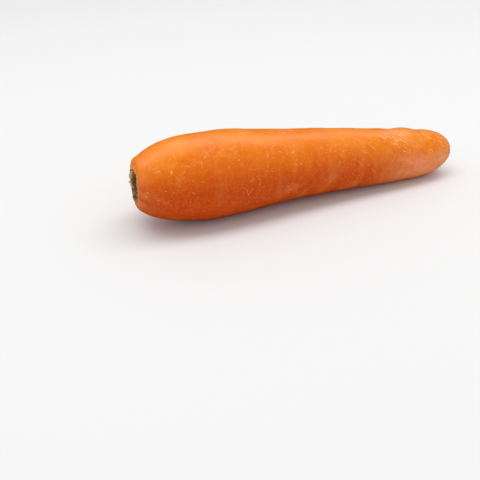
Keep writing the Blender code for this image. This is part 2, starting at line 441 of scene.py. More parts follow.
def rootReliefOf(behind, radius, path, angles):
    # height over the smooth root, and how deep in a crease each place is, for the skin's painted crease
    # shade
    chance = random.Random(rootRelief["seed"])
    relief = np.zeros((len(behind), len(angles)))
    creaseShade = np.zeros_like(relief)
    start, run = rootRelief["fadeIn"]
    fade = np.clip((path - start) / run, 0.0, 1.0)[:, None]
    fade = fade * np.clip((path[-1] - path) / rootRelief["fadeOut"], 0.0, 1.0)[:, None]
    smooth = rootGrid(behind, radius, angles, relief)
    for number, (size, height) in enumerate(rootRelief["lumps"]):
        relief += fade * height * noiseOver(smooth, size, number + 1)
    relief -= fade * dentsIn(behind, angles, rootRelief["dents"] + rootRelief["creases"])
    relief += dentsIn(path, angles, rootRelief["swells"])
    nearRim, nearTip = rootRelief["grooveEnds"]
    tailShare, tailStart, tailEnd = rootRelief["tailGrooves"]
    deepest = rootRelief["grooveDepth"][1]
    for _ in range(rootRelief["grooves"]):
        place = chance.uniform(nearRim, rootShape["length"] - nearTip)
        if chance.random() < tailShare:
            place = chance.uniform(tailStart, tailEnd) * rootShape["length"]
        middle = chance.uniform(-180.0, 180.0)
        depth = chance.uniform(*rootRelief["grooveDepth"])
        halfWidth = chance.uniform(*rootRelief["grooveHalfWidth"])
        halfAngle = math.radians(chance.uniform(*rootRelief["grooveHalfAngle"]))
        lean = chance.uniform(-rootRelief["grooveLean"], rootRelief["grooveLean"])
        turned = turnedFrom(angles, middle) / halfAngle
        along = (behind[:, None] - place - lean * turned) / halfWidth
        window = np.clip(1.0 - turned**2, 0.0, 1.0) ** 0.7
        groove = window * (np.exp(-along**2) - 0.35 * np.exp(-(along / 2.2) ** 2))  # with low banks
        relief -= fade * depth * groove
        creaseShade = np.maximum(creaseShade, fade * window * np.exp(-(along / 0.8) ** 2) * depth / deepest)
    spokes = noiseRound(angles, 4.2, 3.0) + 0.6 * noiseRound(angles, 9.0, 8.0)
    relief += bandOf("crownWrinkles", path) * spokes
    ragged = noiseRound(angles, 6.0, 14.0) + 0.5 * noiseRound(angles, 17.0, 21.0)
    relief += bandOf("raggedRim", path) * ragged
    relief += bandOf("wallLumps", path) * noiseOver(smooth, rootRelief["wallLumpSize"], 9)
    relief += bandOf("tipWrinkles", path[-1] - path) * spokes
    return relief, creaseShade


def ringFaces(first, rings, around):
    # quads between rings of points that follow one another
    faces = []
    for a in range(first, first + (rings - 1) * around, around):
        b = a + around
        for c in range(around):
            d = (c + 1) % around
            faces.append((a + c, a + d, b + d, b + c))
    return faces


def endFaces(point, ring, around, isFirst):
    # triangles that close a ring on one point
    pairs = [(ring + c, ring + (c + 1) % around) for c in range(around)]
    return [(point, d, c) if isFirst else (point, c, d) for c, d in pairs]


def meshOf(name, verts, faces):
    mesh = bpy.data.meshes.new(name)
    mesh.from_pydata(verts, [], faces)
    mesh.update()
    mesh.shade_smooth()
    return mesh


def addObject(name, data):
    made = bpy.data.objects.new(name, data)
    bpy.context.scene.collection.objects.link(made)
    return made


def closeEnds(points):
    # the first and the last row each meet in one point
    points[0] = points[0].mean(0)
    points[-1] = points[-1].mean(0)
    return points


def gridMesh(name, points):
    # a mesh from rows of points that run round a piece; an end row whose points all meet becomes one point
    rows, around = points.shape[:2]
    poles = [np.ptp(points[end], axis=0).max() < 1e-7 for end in (0, -1)]
    inner = points[int(poles[0]):rows - int(poles[1])]
    verts = inner.reshape(-1, 3).tolist()
    faces = ringFaces(0, len(inner), around)
    for end, isPole, ring in ((0, poles[0], 0), (-1, poles[1], (len(inner) - 1) * around)):
        if isPole:
            faces += endFaces(len(verts), ring, around, end == 0)
            verts.append(points[end, 0].tolist())
    return meshOf(name, verts, faces), poles


def piece(name, mesh, material, replaced):
    made = addObject(name, mesh)
    mesh.materials.append(material)
    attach(made, "root")
    for node in replaced:
        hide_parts(node)


def addValues(mesh, name, values):
    attribute = mesh.attributes.new(name, "FLOAT", "POINT")
    attribute.data.foreach_set("value", np.asarray(values, np.float32))


def cornerPoints(mesh):
    corners = np.empty(len(mesh.loops), np.int32)
    mesh.loops.foreach_get("vertex_index", corners)
    return corners


def addMap(mesh, name, across, along):
    # a map from two lengths known at each face's corners
    layer = mesh.uv_layers.new(name=name)
    layer.uv.foreach_set("vector", np.stack([across, along], 1).astype(np.float32).ravel())


def layMaps(mesh, pathOf, angleOf, capOf):
    # growMap: path and way round; markMap: the same on the sides, and flat across the two ends
    loops = cornerPoints(mesh)
    totals = np.array([face.loop_total for face in mesh.polygons])
    count = len(totals)
    faceOf = np.repeat(np.arange(count), totals)
    places = np.array([point.co for point in mesh.vertices])[loops]
    path = pathOf[loops]
    angle = angleOf[loops]
    low = np.full(count, np.inf)
    high = np.full(count, -np.inf)
    known = np.isfinite(angle)
    np.minimum.at(low, faceOf[known], angle[known])
    np.maximum.at(high, faceOf[known], angle[known])
    wraps = (high - low > math.pi)[faceOf]  # a face across the seam
    angle = np.where(wraps & (angle < 0), angle + math.tau, angle)
    middle = np.bincount(faceOf[known], angle[known], count) / np.bincount(faceOf[known], None, count)
    angle = np.where(known, angle, middle[faceOf])
    side = np.stack([path, angle * rootShape["seamRadius"]], 1)
    isCap = (np.bincount(faceOf, capOf[loops]) / totals > 0.5)[faceOf]
    flat = places[:, 1:3] + np.where(path[:, None] < 0.05, 0.31, 0.47)  # each end on a part of its own
    addMap(mesh, "growMap", *side.T)
    addMap(mesh, "markMap", *np.where(isCap[:, None], flat, side).T)


def perVertex(grid, poles):
    # a grid's values in the order of a mesh's points, for the same two ends
    inner = grid[int(poles[0]):len(grid) - int(poles[1])].reshape(-1)
    return np.concatenate([inner, [grid[end, 0] for end, isPole in zip((0, -1), poles) if isPole]])


def makeTaproot(material):
    behind, radius, path = outlineRows()
    angles = np.linspace(-math.pi, math.pi, rootShape["around"], endpoint=False)
    plain = rowPlace(rootGrid(behind, radius, angles, -dentsIn(behind, angles, rootRelief["dents"])))
    low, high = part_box("taproot")
    plain = plain.reshape(-1, 3)
    least, most = plain.min(0), plain.max(0)
    shift = (np.array(low) + np.array(high) - least - most) / 2
    shift[2] = high.z - most[2]
    relief, creaseShade = rootReliefOf(behind, radius, path, angles)
    points = rowPlace(rootGrid(behind, radius, angles, relief)) + shift
    points[..., 2] = np.maximum(points[..., 2], rootShape["restHeight"])
    mesh, poles = gridMesh("taproot_skin", closeEnds(points))
    pathGrid = np.repeat(path[:, None], len(angles), 1)
    angleGrid = np.repeat(angles[None, :], len(path), 0)
    angleGrid[0] = angleGrid[-1] = np.nan  # no way round where all the ways meet
    capGrid = (pathGrid < rootShape["crownCap"]) | (pathGrid > path[-1] - rootShape["tipCap"])
    layMaps(mesh, *(perVertex(grid, poles) for grid in (pathGrid, angleGrid, capGrid * 1.0)))
    addValues(mesh, "creaseShade", perVertex(creaseShade, poles))
    print("taproot:", len(mesh.polygons), "faces, path", round(float(path[-1]), 4))
    piece("taproot_skin", mesh, material, ["taproot"])
    return shift


skinLook = {
    "orange": colour(0.775, 0.195, 0.004),
    "yellowOrange": colour(0.795, 0.230, 0.006),
    "redOrange": colour(0.73, 0.148, 0.003),
    # painted shade: a darker, redder colour for the underside
    "undersideShade": colour(0.60, 0.058, 0.0004),
    # painted shade for the grooves
    "creaseShade": colour(0.60, 0.085, 0.006),
    "haze": colour(0.88, 0.335, 0.085),
    # paler colour for the tail's lower side: dry haze and painted bounce light
    "tailHazeAndBounce": colour(0.93, 0.345, 0.185),
    "glow": colour(0.82, 0.235, 0.018),
    "deep": colour(0.56, 0.085, 0.001),
    "mark": colour(0.95, 0.56, 0.31),
    "scuff": colour(0.93, 0.62, 0.42),
    "stain": colour(0.82, 0.34, 0.12),
    "lip": colour(0.80, 0.31, 0.12),
    # the hollow's wall: brown low down and near-black deep in as painted shade, paler at its top as painted
    # light where the rim shades it
    "wall": colour(0.40, 0.20, 0.085),
    "wallTopPaintedLit": colour(0.84, 0.42, 0.18),
    "hollow": colour(0.095, 0.042, 0.012),
    "hollowTopPaintedLit": colour(0.78, 0.38, 0.16),
    "redAmount": 0.6,
    "lineAmount": 0.24,
    "paleLineAmount": 0.15,
    "creaseShadeAmount": 0.35,
    "hazeAmount": 0.30,
    "dustAndSheenAmount": 0.17,
    "lowTailHazeAndBounceAmount": 0.70,
    "mottleAmount": 0.22,
    "grainAmount": 0.20,
    "bandAmount": 0.22,
    "netAmount": 0.75,
    "netHaze": 0.14,
    "tipAmount": 0.75,
    "scuffAmount": 0.95,
    "rubbedHaze": 0.30,
    "lipAmount": 0.65,
    "wallStainAndShadeAmount": 0.55,
    "scuffPlace": (0.150, -0.0075, 0.0),  # path, and way round times seamRadius
    "roughness": (0.35, 0.50),  # where it is clean and where it is hazy
    "markRoughness": 0.15,
    "wallRoughness": 0.35,
    "shine": 0.17,
    "subsurface": 0.12,
    "subsurfaceRadius": (1.0, 0.30, 0.08),
    "subsurfaceScale": 0.0035,
    "bump": 0.45,
    "bumpDepth": 0.00024,
    "patches": {  # size, low, high, seed, detail
        "yellow": (0.030, 0.35, 0.65, 1.0, 3.0),
        "red": (0.012, 0.45, 0.75, 2.0, 3.0),
        "haze": (0.016, 0.46, 0.68, 4.0, 5.0),
        "dustAndSheen": (0.009, 0.50, 0.72, 9.0, 9.0),
        "lowTailHazeAndBounce": (0.007, 0.22, 0.56, 47.0, 5.0),
        "paleMottle": (0.0036, 0.50, 0.72, 27.0, 5.0),
        "deepMottle": (0.0030, 0.52, 0.74, 33.0, 4.0),
        "paleGrain": (0.0011, 0.46, 0.70, 37.0, 2.0),
        "deepGrain": (0.0012, 0.46, 0.70, 43.0, 2.0),
        "crowding": (0.022, 0.40, 0.62, 17.0, 2.0),
        "netSpots": (0.010, 0.60, 0.70, 71.0, 2.0),
        "rubbed": (0.004, 0.42, 0.66, 19.0, 6.0),
        "stain": (0.004, 0.30, 0.60, 8.0, 3.0),
        "lip": (0.0022, 0.35, 0.60, 53.0, 3.0),
        "wall": (0.0016, 0.45, 0.62, 23.0, 4.0),
    },
    "streaks": {  # pitch, reach, low, high, seed
        "lines": (0.0016, 0.014, 0.52, 0.75, 3.0),
        "paleLines": (0.0009, 0.010, 0.58, 0.80, 7.0),
        "haze": (0.0026, 0.012, 0.30, 0.60, 5.0),
        "bands": (0.0042, 0.030, 0.50, 0.66, 15.0),
    },
    # cell, length, width, bend, share of cells that hold one, seed; heading and spread if they lean
    "strokes": {
        "specks": (0.0020, 0.00032, 0.00028, 0.0, 0.50, 1.0),
        "dots": (0.0056, 0.00044, 0.00040, 0.0, 0.36, 21.0),
        "scratches": (0.0032, 0.00095, 0.00018, 1.0, 0.45, 41.0),
        "hairs": (0.0075, 0.0014, 0.00020, 2.6, 0.32, 61.0),
        "longHairs": (0.0110, 0.0021, 0.00021, 1.6, 0.30, 81.0),
        "nets": (0.0014, 0.0011, 0.00018, 1.6, 0.90, 141.0),
        "tailScratches": (0.0080, 0.0040, 0.00030, 0.7, 0.55, 181.0, 108.0, 50.0),
        "scuffs": (0.0018, 0.0014, 0.00026, 1.2, 0.90, 101.0),
        "longScuffs": (0.0034, 0.0030, 0.00046, 0.9, 0.80, 121.0, 108.0, 60.0),
    },
    "zones": {  # where each starts and ends, and its strength at both where that isn't 0 and 1
        # degrees from the top
        # painted shade on the underside
        "undersideShade": (20.0, 100.0),
        # pale dust, thicker on the top: partly real dust, partly painted sheen
        "dustAndSheen": (15.0, 80.0, 1.0, 0.4),
        # the tail's lower side: dry haze and painted bounce light
        "lowTailHazeAndBounce": (55.0, 90.0),
        # pale mottles on the top: partly the skin's own, partly painted sheen
        "hazeAndSheenOnTop": (15.0, 75.0, 1.0, 0.30),
        "marks": (40.0, 95.0, 0.78, 0.52),
        "shoulderStain": (70.0, 120.0, 0.15, 0.42),
        "wallShade": (30.0, 95.0),
        "hollowShade": (50.0, 95.0),
        # path from the rim, negative in the hollow
        "beforeTail": (0.120, 0.172, 1.0, 0.10),
        "towardsTip": (0.06, 0.175, 0.30, 1.0),
        "tail": (0.128, 0.166),
        "body": (0.02, 0.10),
        "tailHalf": (0.105, 0.135),
        "tip": (0.170, 0.184),
        "shoulder": (0.0005, 0.0110, 1.0, 0.0),
        "lipStart": (-0.0005, 0.0),
        "lipEnd": (0.0003, 0.0011, 1.0, 0.0),
        "hollowFloor": (-0.0060, -0.0042, 1.0, 0.0),
        "deepWall": (-0.0048, -0.0015, 1.0, 0.0),
        "wall": (-0.0006, 0.0, 1.0, 0.0),
        # distance from the rubbed place
        "nearScuff": (0.003, 0.013, 1.0, 0.0),
    },
}


def makeSkinFinish(look):
    material, tree, shader, solid = newMaterial("carrotSkin")
    grow = mapOf(tree, "growMap")
    marks = mapOf(tree, "markMap")
    growParts = put(tree, "SeparateXYZ", {"Vector": grow}).outputs
    path = growParts["X"]
    fromTop = calc(tree, "DIVIDE", calc(tree, "ABSOLUTE", growParts["Y"]),
                   math.radians(1.0) * rootShape["seamRadius"])

    def patches(name):
        return cloudMask(tree, solid, *look["patches"][name])

    def streaks(name):
        return streakMask(tree, grow, *look["streaks"][name])

    def strokes(name):
        values = look["strokes"][name]
        return strokeMask(tree, marks, *values[:6], *(math.radians(angle) for angle in values[6:]))

    def zone(value, name):
        return remap(tree, value, *look["zones"][name])

    def over(base, name, *amounts):
        return tint(tree, product(tree, *amounts), base, look[name])

    # flesh colour under the skin, with painted shade on the underside and in the creases
    base = tint(tree, patches("yellow"), look["orange"], look["yellowOrange"])
    base = over(base, "redOrange", patches("red"), look["redAmount"])
    # painted shade: the underside painted darker and redder, fading out before the tail
    base = over(base, "undersideShade", zone(fromTop, "undersideShade"), zone(path, "beforeTail"))
    lines = streaks("lines")
    base = over(base, "redOrange", lines, look["lineAmount"])
    paleLines = streaks("paleLines")
    base = over(base, "yellowOrange", paleLines, look["paleLineAmount"])
    # painted shade: darker where the grooves are deepest
    base = over(base, "creaseShade", valueOf(tree, "creaseShade"), look["creaseShadeAmount"])
    # dry haze, mostly towards the tip
    haze = product(tree, patches("haze"), streaks("haze"), zone(path, "towardsTip"))
    base = over(base, "haze", haze, look["hazeAmount"])
    # pale dust laid thicker on the top: partly real dust, partly painted sheen
    base = over(base, "haze", patches("dustAndSheen"), zone(fromTop, "dustAndSheen"), look["dustAndSheenAmount"])
    # the tail's lower side painted paler: partly dry haze, partly painted bounce light from below
    lowTailHazeAndBounce = product(tree, zone(path, "tail"), zone(fromTop, "lowTailHazeAndBounce"), look["lowTailHazeAndBounceAmount"])
    base = over(base, "tailHazeAndBounce", lowTailHazeAndBounce, patches("lowTailHazeAndBounce"))
    # fine grain and mottling of the skin itself; the pale mottles are kept to the top, partly as painted
    # sheen
    base = over(base, "haze", patches("paleMottle"), zone(fromTop, "hazeAndSheenOnTop"), look["mottleAmount"])
    base = over(base, "deep", patches("deepMottle"), look["mottleAmount"])
    base = over(base, "glow", patches("paleGrain"), look["grainAmount"])
    base = over(base, "deep", patches("deepGrain"), look["grainAmount"])
    # faint bands that run round the root
    base = over(base, "glow", streaks("bands"), zone(path, "body"), look["bandAmount"])
    # specks, scratches and hair-like marks, thicker in some places than in others
    thin = between(tree, patches("crowding"), 0.35, 1.0)
    soft = product(tree, either(tree, strokes("specks"), strokes("scratches")), thin)
    # rubbed spots, each a small net of fine scratches
    netSpots = patches("netSpots")
    soft = either(tree, soft, product(tree, strokes("nets"), netSpots, look["netAmount"]))
    base = over(base, "haze", netSpots, look["netHaze"])
    # on the tail, long thin scratches that mostly lean one way
    soft = either(tree, soft, product(tree, strokes("tailScratches"), zone(path, "tailHalf")))
    hairs = either(tree, strokes("hairs"), strokes("longHairs"))
    marksMask = either(tree, soft, either(tree, strokes("dots"), hairs))
    base = over(base, "mark", marksMask, zone(fromTop, "marks"))
    # a rubbed place near the tail and the scuffed tip
    scuffAt = put(tree, "VectorMath", {0: grow, 1: look["scuffPlace"]}, operation="DISTANCE")
    rubbed = either(tree, zone(scuffAt.outputs["Value"], "nearScuff"),
                    product(tree, zone(path, "tip"), look["tipAmount"]))
    scuffs = either(tree, strokes("scuffs"), strokes("longScuffs"))
    base = over(base, "scuff", scuffs, rubbed, look["scuffAmount"])
    base = over(base, "haze", rubbed, patches("rubbed"), look["rubbedHaze"])
    # the crown: stained shoulder, pale torn lip, and the hollow's brown wall with painted shade deep in and
    # low down and painted light at its top
    base = over(base, "stain", zone(path, "shoulder"), patches("stain"), zone(fromTop, "shoulderStain"))
    uneven = remap(tree, patches("lip"), 0.0, 1.0, 0.35, 1.0)
    base = over(base, "lip", zone(path, "lipStart"), zone(path, "lipEnd"), uneven, look["lipAmount"])
    # painted shade: the hollow's floor and lower wall darkened, with dark blotches low down as stain and
    # shade; painted light: its top wall paler
    below = zone(fromTop, "hollowShade")
    deepHollowShade = either(tree, zone(path, "hollowFloor"), product(tree, zone(path, "deepWall"), below))
    wallColourAndShade = tint(tree, zone(fromTop, "wallShade"), look["wallTopPaintedLit"], look["wall"])
    wallColourAndShade = tint(tree, deepHollowShade, wallColourAndShade, tint(tree, below, look["hollowTopPaintedLit"], look["hollow"]))
    wallColourAndShade = over(wallColourAndShade, "hollow", patches("wall"), below, look["wallStainAndShadeAmount"])
    wall = zone(path, "wall")
    rough = between(tree, haze, *look["roughness"])
    rough = plus(tree, rough, product(tree, marksMask, look["markRoughness"]))
    rough = plus(tree, rough, product(tree, wall, look["wallRoughness"]))
    feedAll(tree, shader, {
        "Base Color": tint(tree, wall, base, wallColourAndShade),
        "Roughness": rough,
        "IOR": 1.42,
        "Specular IOR Level": look["shine"],
        "Subsurface Weight": look["subsurface"],
        "Subsurface Radius": look["subsurfaceRadius"],
        "Subsurface Scale": look["subsurfaceScale"],
    })
    pores = grainOf(tree, solid, 1400.0, 3.0)
    pebbles = grainOf(tree, solid, 480.0, 4.0)
    height = product(tree, pores, 0.30)
    for part, share in ((lines, -0.4), (pebbles, 0.9), (paleLines, 0.3)):
        height = plus(tree, height, product(tree, part, share))
    roughen(tree, shader, height, look["bump"], look["bumpDepth"])
    return material


carrotSkin = makeSkinFinish(skinLook)
crownShift = makeTaproot(carrotSkin)


def setOnRoot(points):
    leaning = points.copy()
    leaning[..., 2] += crownLean(-points[..., 2], points[..., 0], points[..., 1])
    return rowPlace(leaning) + crownShift


def noiseAlong(values, scale, seed):
    # down a column of values
    return np.array([[noise.noise(Vector((v * scale, seed * 4.7, seed * 1.9)))] for v in values[:, 0]])


# the cut stem in the middle of the hollow, in metres
stemStub = {
    "radius": 0.0036,
    "top": -0.0015,
    "foot": -0.0031,
    "around": 120,
    "rings": 3.2,
    "ringHeight": 0.00011,
    "dome": 0.00045,  # the cut stands this much over its edge, but for a pit at its very middle
    "pit": 0.00035,
    "pitShare": 0.22,
    "edgeWear": 0.00035,
    "grit": (0.0009, 0.00009),  # size, height
}


def makeStemStub(material):
    around = stemStub["around"]
    angles = np.linspace(-math.pi, math.pi, around, endpoint=False)
    level = np.zeros(around)
    ragged = noiseRound(angles, 3.5, 2.0)
    fibres = noiseRound(angles, 14.0, 5.0)
    rows = []  # radius, height, share of the radius, share of the way up
    for share in (0.0, *np.linspace(0.3, 1.0, 5)):
        rows.append((stemStub["radius"] * share + level, stemStub["foot"] + level, share, 0.0))
    for lift in np.linspace(0.12, 0.9, 8):
        height = stemStub["foot"] + (stemStub["top"] - stemStub["foot"]) * lift
        radius = stemStub["radius"] * (1 + 0.02 * fibres + 0.03 * ragged * lift)
        rows.append((radius, height + level, 1.0, lift))
    for share in (*np.linspace(0.985, 0.03, 46), 0.0):
        ripple = math.cos(math.tau * stemStub["rings"] * share) * stemStub["ringHeight"]
        pit = stemStub["pit"] * math.exp(-(share / stemStub["pitShare"]) ** 2)
        dome = stemStub["dome"] * (1.0 - share**2) - pit
        wear = stemStub["edgeWear"] * share**6 * (0.5 + ragged)
        radius = stemStub["radius"] * share * (1 + 0.03 * ragged * share + 0.012 * fibres * share)
        rows.append((radius, stemStub["top"] + dome + ripple * min(share * 4, 1.0) - wear, share, 1.0))
    points = np.array([np.stack([r * np.cos(angles), r * np.sin(angles), z], -1) for r, z, _, _ in rows])
    shares, tops = (np.repeat(np.array(v)[:, None], around, 1) for v in list(zip(*rows))[2:])
    size, height = stemStub["grit"]
    points[..., 2] += height * noiseOver(points, size, 3) * np.minimum(1.0, shares * 5)
    mesh, poles = gridMesh("stem_stub_top", setOnRoot(closeEnds(points)))
    addValues(mesh, "ringShare", perVertex(shares, poles))
    addValues(mesh, "onTop", perVertex(tops, poles))
    piece("stem_stub_top", mesh, material, ["stem_stub"])


# the dried leaf stalks, in metres and degrees
leafStalks = {
    "foot": -0.0031,
    "points": (170, 40),  # along each stalk, and round it
    "endDrop": 0.0007,
    "endThinning": 0.5,
    "outerDrop": 0.0002,  # the top falls away outwards by this much each way
    "tornHeight": 0.0010,
    "tornSizes": (0.0012, 0.0005),  # of the lumps the top is torn into, and of their edges
    "strandDepth": 0.10,  # of the strands down the sides, as a share of the thickness
    "flare": 0.0007,
    "channelDepth": 0.0002,  # down the middle of the top
    "reach": 0.0086,  # it stays inside the hollow
    "grit": (0.0006, 0.00010),  # size, height
    # ring radius, middle, span, half-thickness, top above the rim, how brown (partly painted shade for
    # stalks low in the hollow), node
    "stalks": [(0.0049, 200, 110, 0.00090, -0.0018, 0.45, "leaf_stalk_1"),
               (0.0049, 80, 108, 0.00085, 0.0000, 0.95, "leaf_stalk_2"),
               (0.0050, 322, 106, 0.00095, -0.0017, 0.35, "leaf_stalk_3"),
               (0.0071, 82, 94, 0.00095, 0.0010, 0.0, "leaf_stalk_4"),
               (0.0071, 154, 38, 0.00085, -0.0006, 0.70, "leaf_stalk_5"),
               (0.0071, 217, 78, 0.00090, -0.0012, 0.20, "leaf_stalk_6"),
               (0.0071, 303, 84, 0.00095, -0.0014, 0.10, "leaf_stalk_7")],
}


def boxed(values, power):
    # bends a circle's sine or cosine, so that the section is nearer to a box
    return np.sign(values) * np.abs(values) ** power


def makeLeafStalk(number, stalk, material):
    ring, middle, span, halfThick, top, brown, node = stalk
    longCount, roundCount = leafStalks["points"]
    along = np.array([-1.0, *np.linspace(-0.985, 0.985, longCount), 1.0])[:, None]
    turn = np.linspace(0, math.tau, roundCount, endpoint=False)
    across = boxed(np.cos(turn), 0.6)[None, :]
    lift = (boxed(np.sin(turn), 0.5)[None, :] + 1) / 2
    angles = np.radians(middle - along * span / 2)
    ends = along**2
    closing = np.sqrt(np.clip(1.0 - ends**6, 0.0, 1.0))
    arc = (math.radians(span) * ring / 2) * along
    flat = np.stack(np.broadcast_arrays(arc, across * halfThick, 0.0), -1)
    torn, fine = (noiseOver(flat, size, number + seed)
                  for size, seed in zip(leafStalks["tornSizes"], (30, 50)))
    wide = noiseAlong(along, span * 0.05, number)
    strand = noiseAlong(along, span * 0.45, number + 20)
    topHeight = top - leafStalks["endDrop"] * ends - leafStalks["outerDrop"] * across
    topHeight = topHeight + leafStalks["tornHeight"] * (0.7 * wide + 0.7 * torn + 0.45 * fine)
    rise = (topHeight - leafStalks["foot"]) * (0.5 + (lift - 0.5) * (0.25 + 0.75 * closing))
    thick = halfThick * (1 - leafStalks["endThinning"] * ends) * closing * (1.0 - 0.25 * lift**2)
    thick = thick * (1.0 + 0.35 * wide + leafStalks["strandDepth"] * strand + 0.25 * fine * lift)
    outward = ring + across * thick + leafStalks["flare"] * lift**3 * (wide + 0.4 * torn)
    outward = np.clip(outward, 0.0, leafStalks["reach"])
    inChannel = np.clip(1.0 - np.abs(across) / 0.7, 0.0, 1.0) * (lift > 0.9) * closing
    rise = rise - leafStalks["channelDepth"] * inChannel
    points = np.stack([outward * np.cos(angles), outward * np.sin(angles), leafStalks["foot"] + rise], -1)
    size, height = leafStalks["grit"]
    points[..., :2] += height * noiseOver(points, size, number + 3)[..., None]
    mesh, poles = gridMesh(node + "_dried", setOnRoot(closeEnds(points)))
    arc, lift = (np.broadcast_to(v, rise.shape) for v in (angles * ring, lift))
    corners = cornerPoints(mesh)
    addMap(mesh, "fibreMap", *(perVertex(grid, poles)[corners] for grid in (arc, rise)))
    addValues(mesh, "lift", perVertex(lift, poles))
    addValues(mesh, "brown", np.full(len(mesh.vertices), brown))
    piece(node + "_dried", mesh, material, [node])


def stripPoints(spine, sideways, halfWide, halfThick, sections):
    # a closed tapered strip that follows a spine
    spine = np.array(spine)
    heading = np.gradient(spine, axis=0)
    heading /= np.linalg.norm(heading, axis=1)[:, None]
    side = sideways - heading * (heading @ sideways)[:, None]
    side /= np.linalg.norm(side, axis=1)[:, None]
    face = np.cross(heading, side)
    turn = np.linspace(0, math.tau, sections, endpoint=False)[None, :, None]
    share = np.linspace(0, 1, len(spine))[:, None, None]
    taper = np.sqrt(np.clip(1 - share**2, 0, 1)) * (0.6 + 0.4 * np.minimum(share * 5, 1))
    return (spine[:, None] + side[:, None] * np.cos(turn) * halfWide * taper
            + face[:, None] * np.sin(turn) * (halfThick * taper + 0.00001))


def joinStrips(name, strips):
    # one mesh from several closed strips; each strip's ends are closed with a point
    verts, faces, along = [], [], []
    for points in strips:
        rows, around = points.shape[:2]
        first = len(verts)
        last = first + (rows - 1) * around
        verts += points.reshape(-1, 3).tolist()
        verts += [points[0].mean(0).tolist(), points[-1].mean(0).tolist()]
        along += np.repeat(np.linspace(0, 1, rows), around).tolist() + [0.0, 1.0]
        faces += ringFaces(first, rows, around)
        faces += endFaces(last + around, first, around, True)
        faces += endFaces(last + around + 1, last, around, False)
    mesh = meshOf(name, verts, faces)
    addValues(mesh, "along", along)
    return mesh


# the torn flakes round the rim, in metres
crownFringe = {
    "seed": 5,
    "flakes": 24,
    "rimRadius": (0.0086, 0.0094),
    "rootedBelow": 0.00025,
    "long": (0.0010, 0.0024),
    "heading": (95, 265),  # degrees from straight outward
    "twist": 0.9,  # how far aside it turns, as a share of its length
    "curl": (0.5, 2.4),  # radians
    "halfWide": (0.00020, 0.00055),
    "halfThick": 0.00006,
    "steps": 9,
}


def makeCrownFringe(material):
    chance = random.Random(crownFringe["seed"])
    steps = crownFringe["steps"]
    up = np.array([0.0, 0.0, 1.0])
    strips = []
    for _ in range(crownFringe["flakes"]):
        angle = chance.uniform(0, math.tau)
        radius = chance.uniform(*crownFringe["rimRadius"])
        long = chance.uniform(*crownFringe["long"])
        heading = math.radians(chance.uniform(*crownFringe["heading"]))
        twist = chance.uniform(-crownFringe["twist"], crownFringe["twist"])
        curl = chance.uniform(*crownFringe["curl"])
        out = np.array([math.cos(angle), math.sin(angle), 0.0])
        aside = np.array([-math.sin(angle), math.cos(angle), 0.0])
        place = out * radius - up * crownFringe["rootedBelow"]
        spine = []
        for step in np.linspace(0, 1, steps):
            spine.append(place)
            rise = math.sin(0.5 + curl * step) * 0.55
            flat = out * math.cos(heading) + aside * (math.sin(heading) + twist * step)
            place = place + (flat * math.cos(curl * step * 0.5) + up * rise) * long / steps
        halfWide = chance.uniform(*crownFringe["halfWide"])
        flake = stripPoints(spine, aside + 0.2 * up, halfWide, crownFringe["halfThick"], 10)
        strips.append(setOnRoot(flake))
    mesh = joinStrips("crown_fringe", strips)
    piece("crown_fringe", mesh, material, [])


# the hairs at the tip, in metres; the first is the root's own thread, longer and thicker
tipHairs = {
    "seed": 3,
    "hairs": 6,
    "rootedInside": 0.0006,
    "threadSpread": 0.0004,
    "spread": (0.0005, 0.0035),
    "long": (0.0012, 0.0042),
    "halfWide": (0.000165, 0.000088),  # the thread's and the others'
    "bend": 1.6,
    "steps": 12,
}


def makeTipHairs(material):
    chance = random.Random(tipHairs["seed"])
    steps = tipHairs["steps"]
    foot = rootShape["length"] - tipHairs["rootedInside"]
    strips = []
    for number in range(tipHairs["hairs"]):
        isThread = number == 0
        angle = chance.uniform(0, math.tau)
        spread = tipHairs["threadSpread"] if isThread else chance.uniform(*tipHairs["spread"])
        long = tipHairs["long"][1] if isThread else chance.uniform(*tipHairs["long"])
        out = np.array([math.cos(angle), math.sin(angle), 0.0])
        place = out * spread + np.array([0, 0, spread * 0.12 - foot])
        heading = out * (0.25 + spread * 260) + np.array([0.35, 0, -1.0])
        bend = [chance.uniform(*limits) for limits in ((-1, 1), (-1, 1), (-0.2, 0.5))]
        bend = np.array(bend) * tipHairs["bend"]
        spine = []
        for step in np.linspace(0, 1, steps):
            spine.append(place)
            direction = heading + bend * step
            place = place + direction / np.linalg.norm(direction) * long / steps
        half = tipHairs["halfWide"][0 if isThread else 1]
        strips.append(setOnRoot(stripPoints(spine, np.array([0.1, 1.0, 0.0]), half, half, 8)))
    mesh = joinStrips("tip_hairs", strips)
    piece("tip_hairs", mesh, material, [])


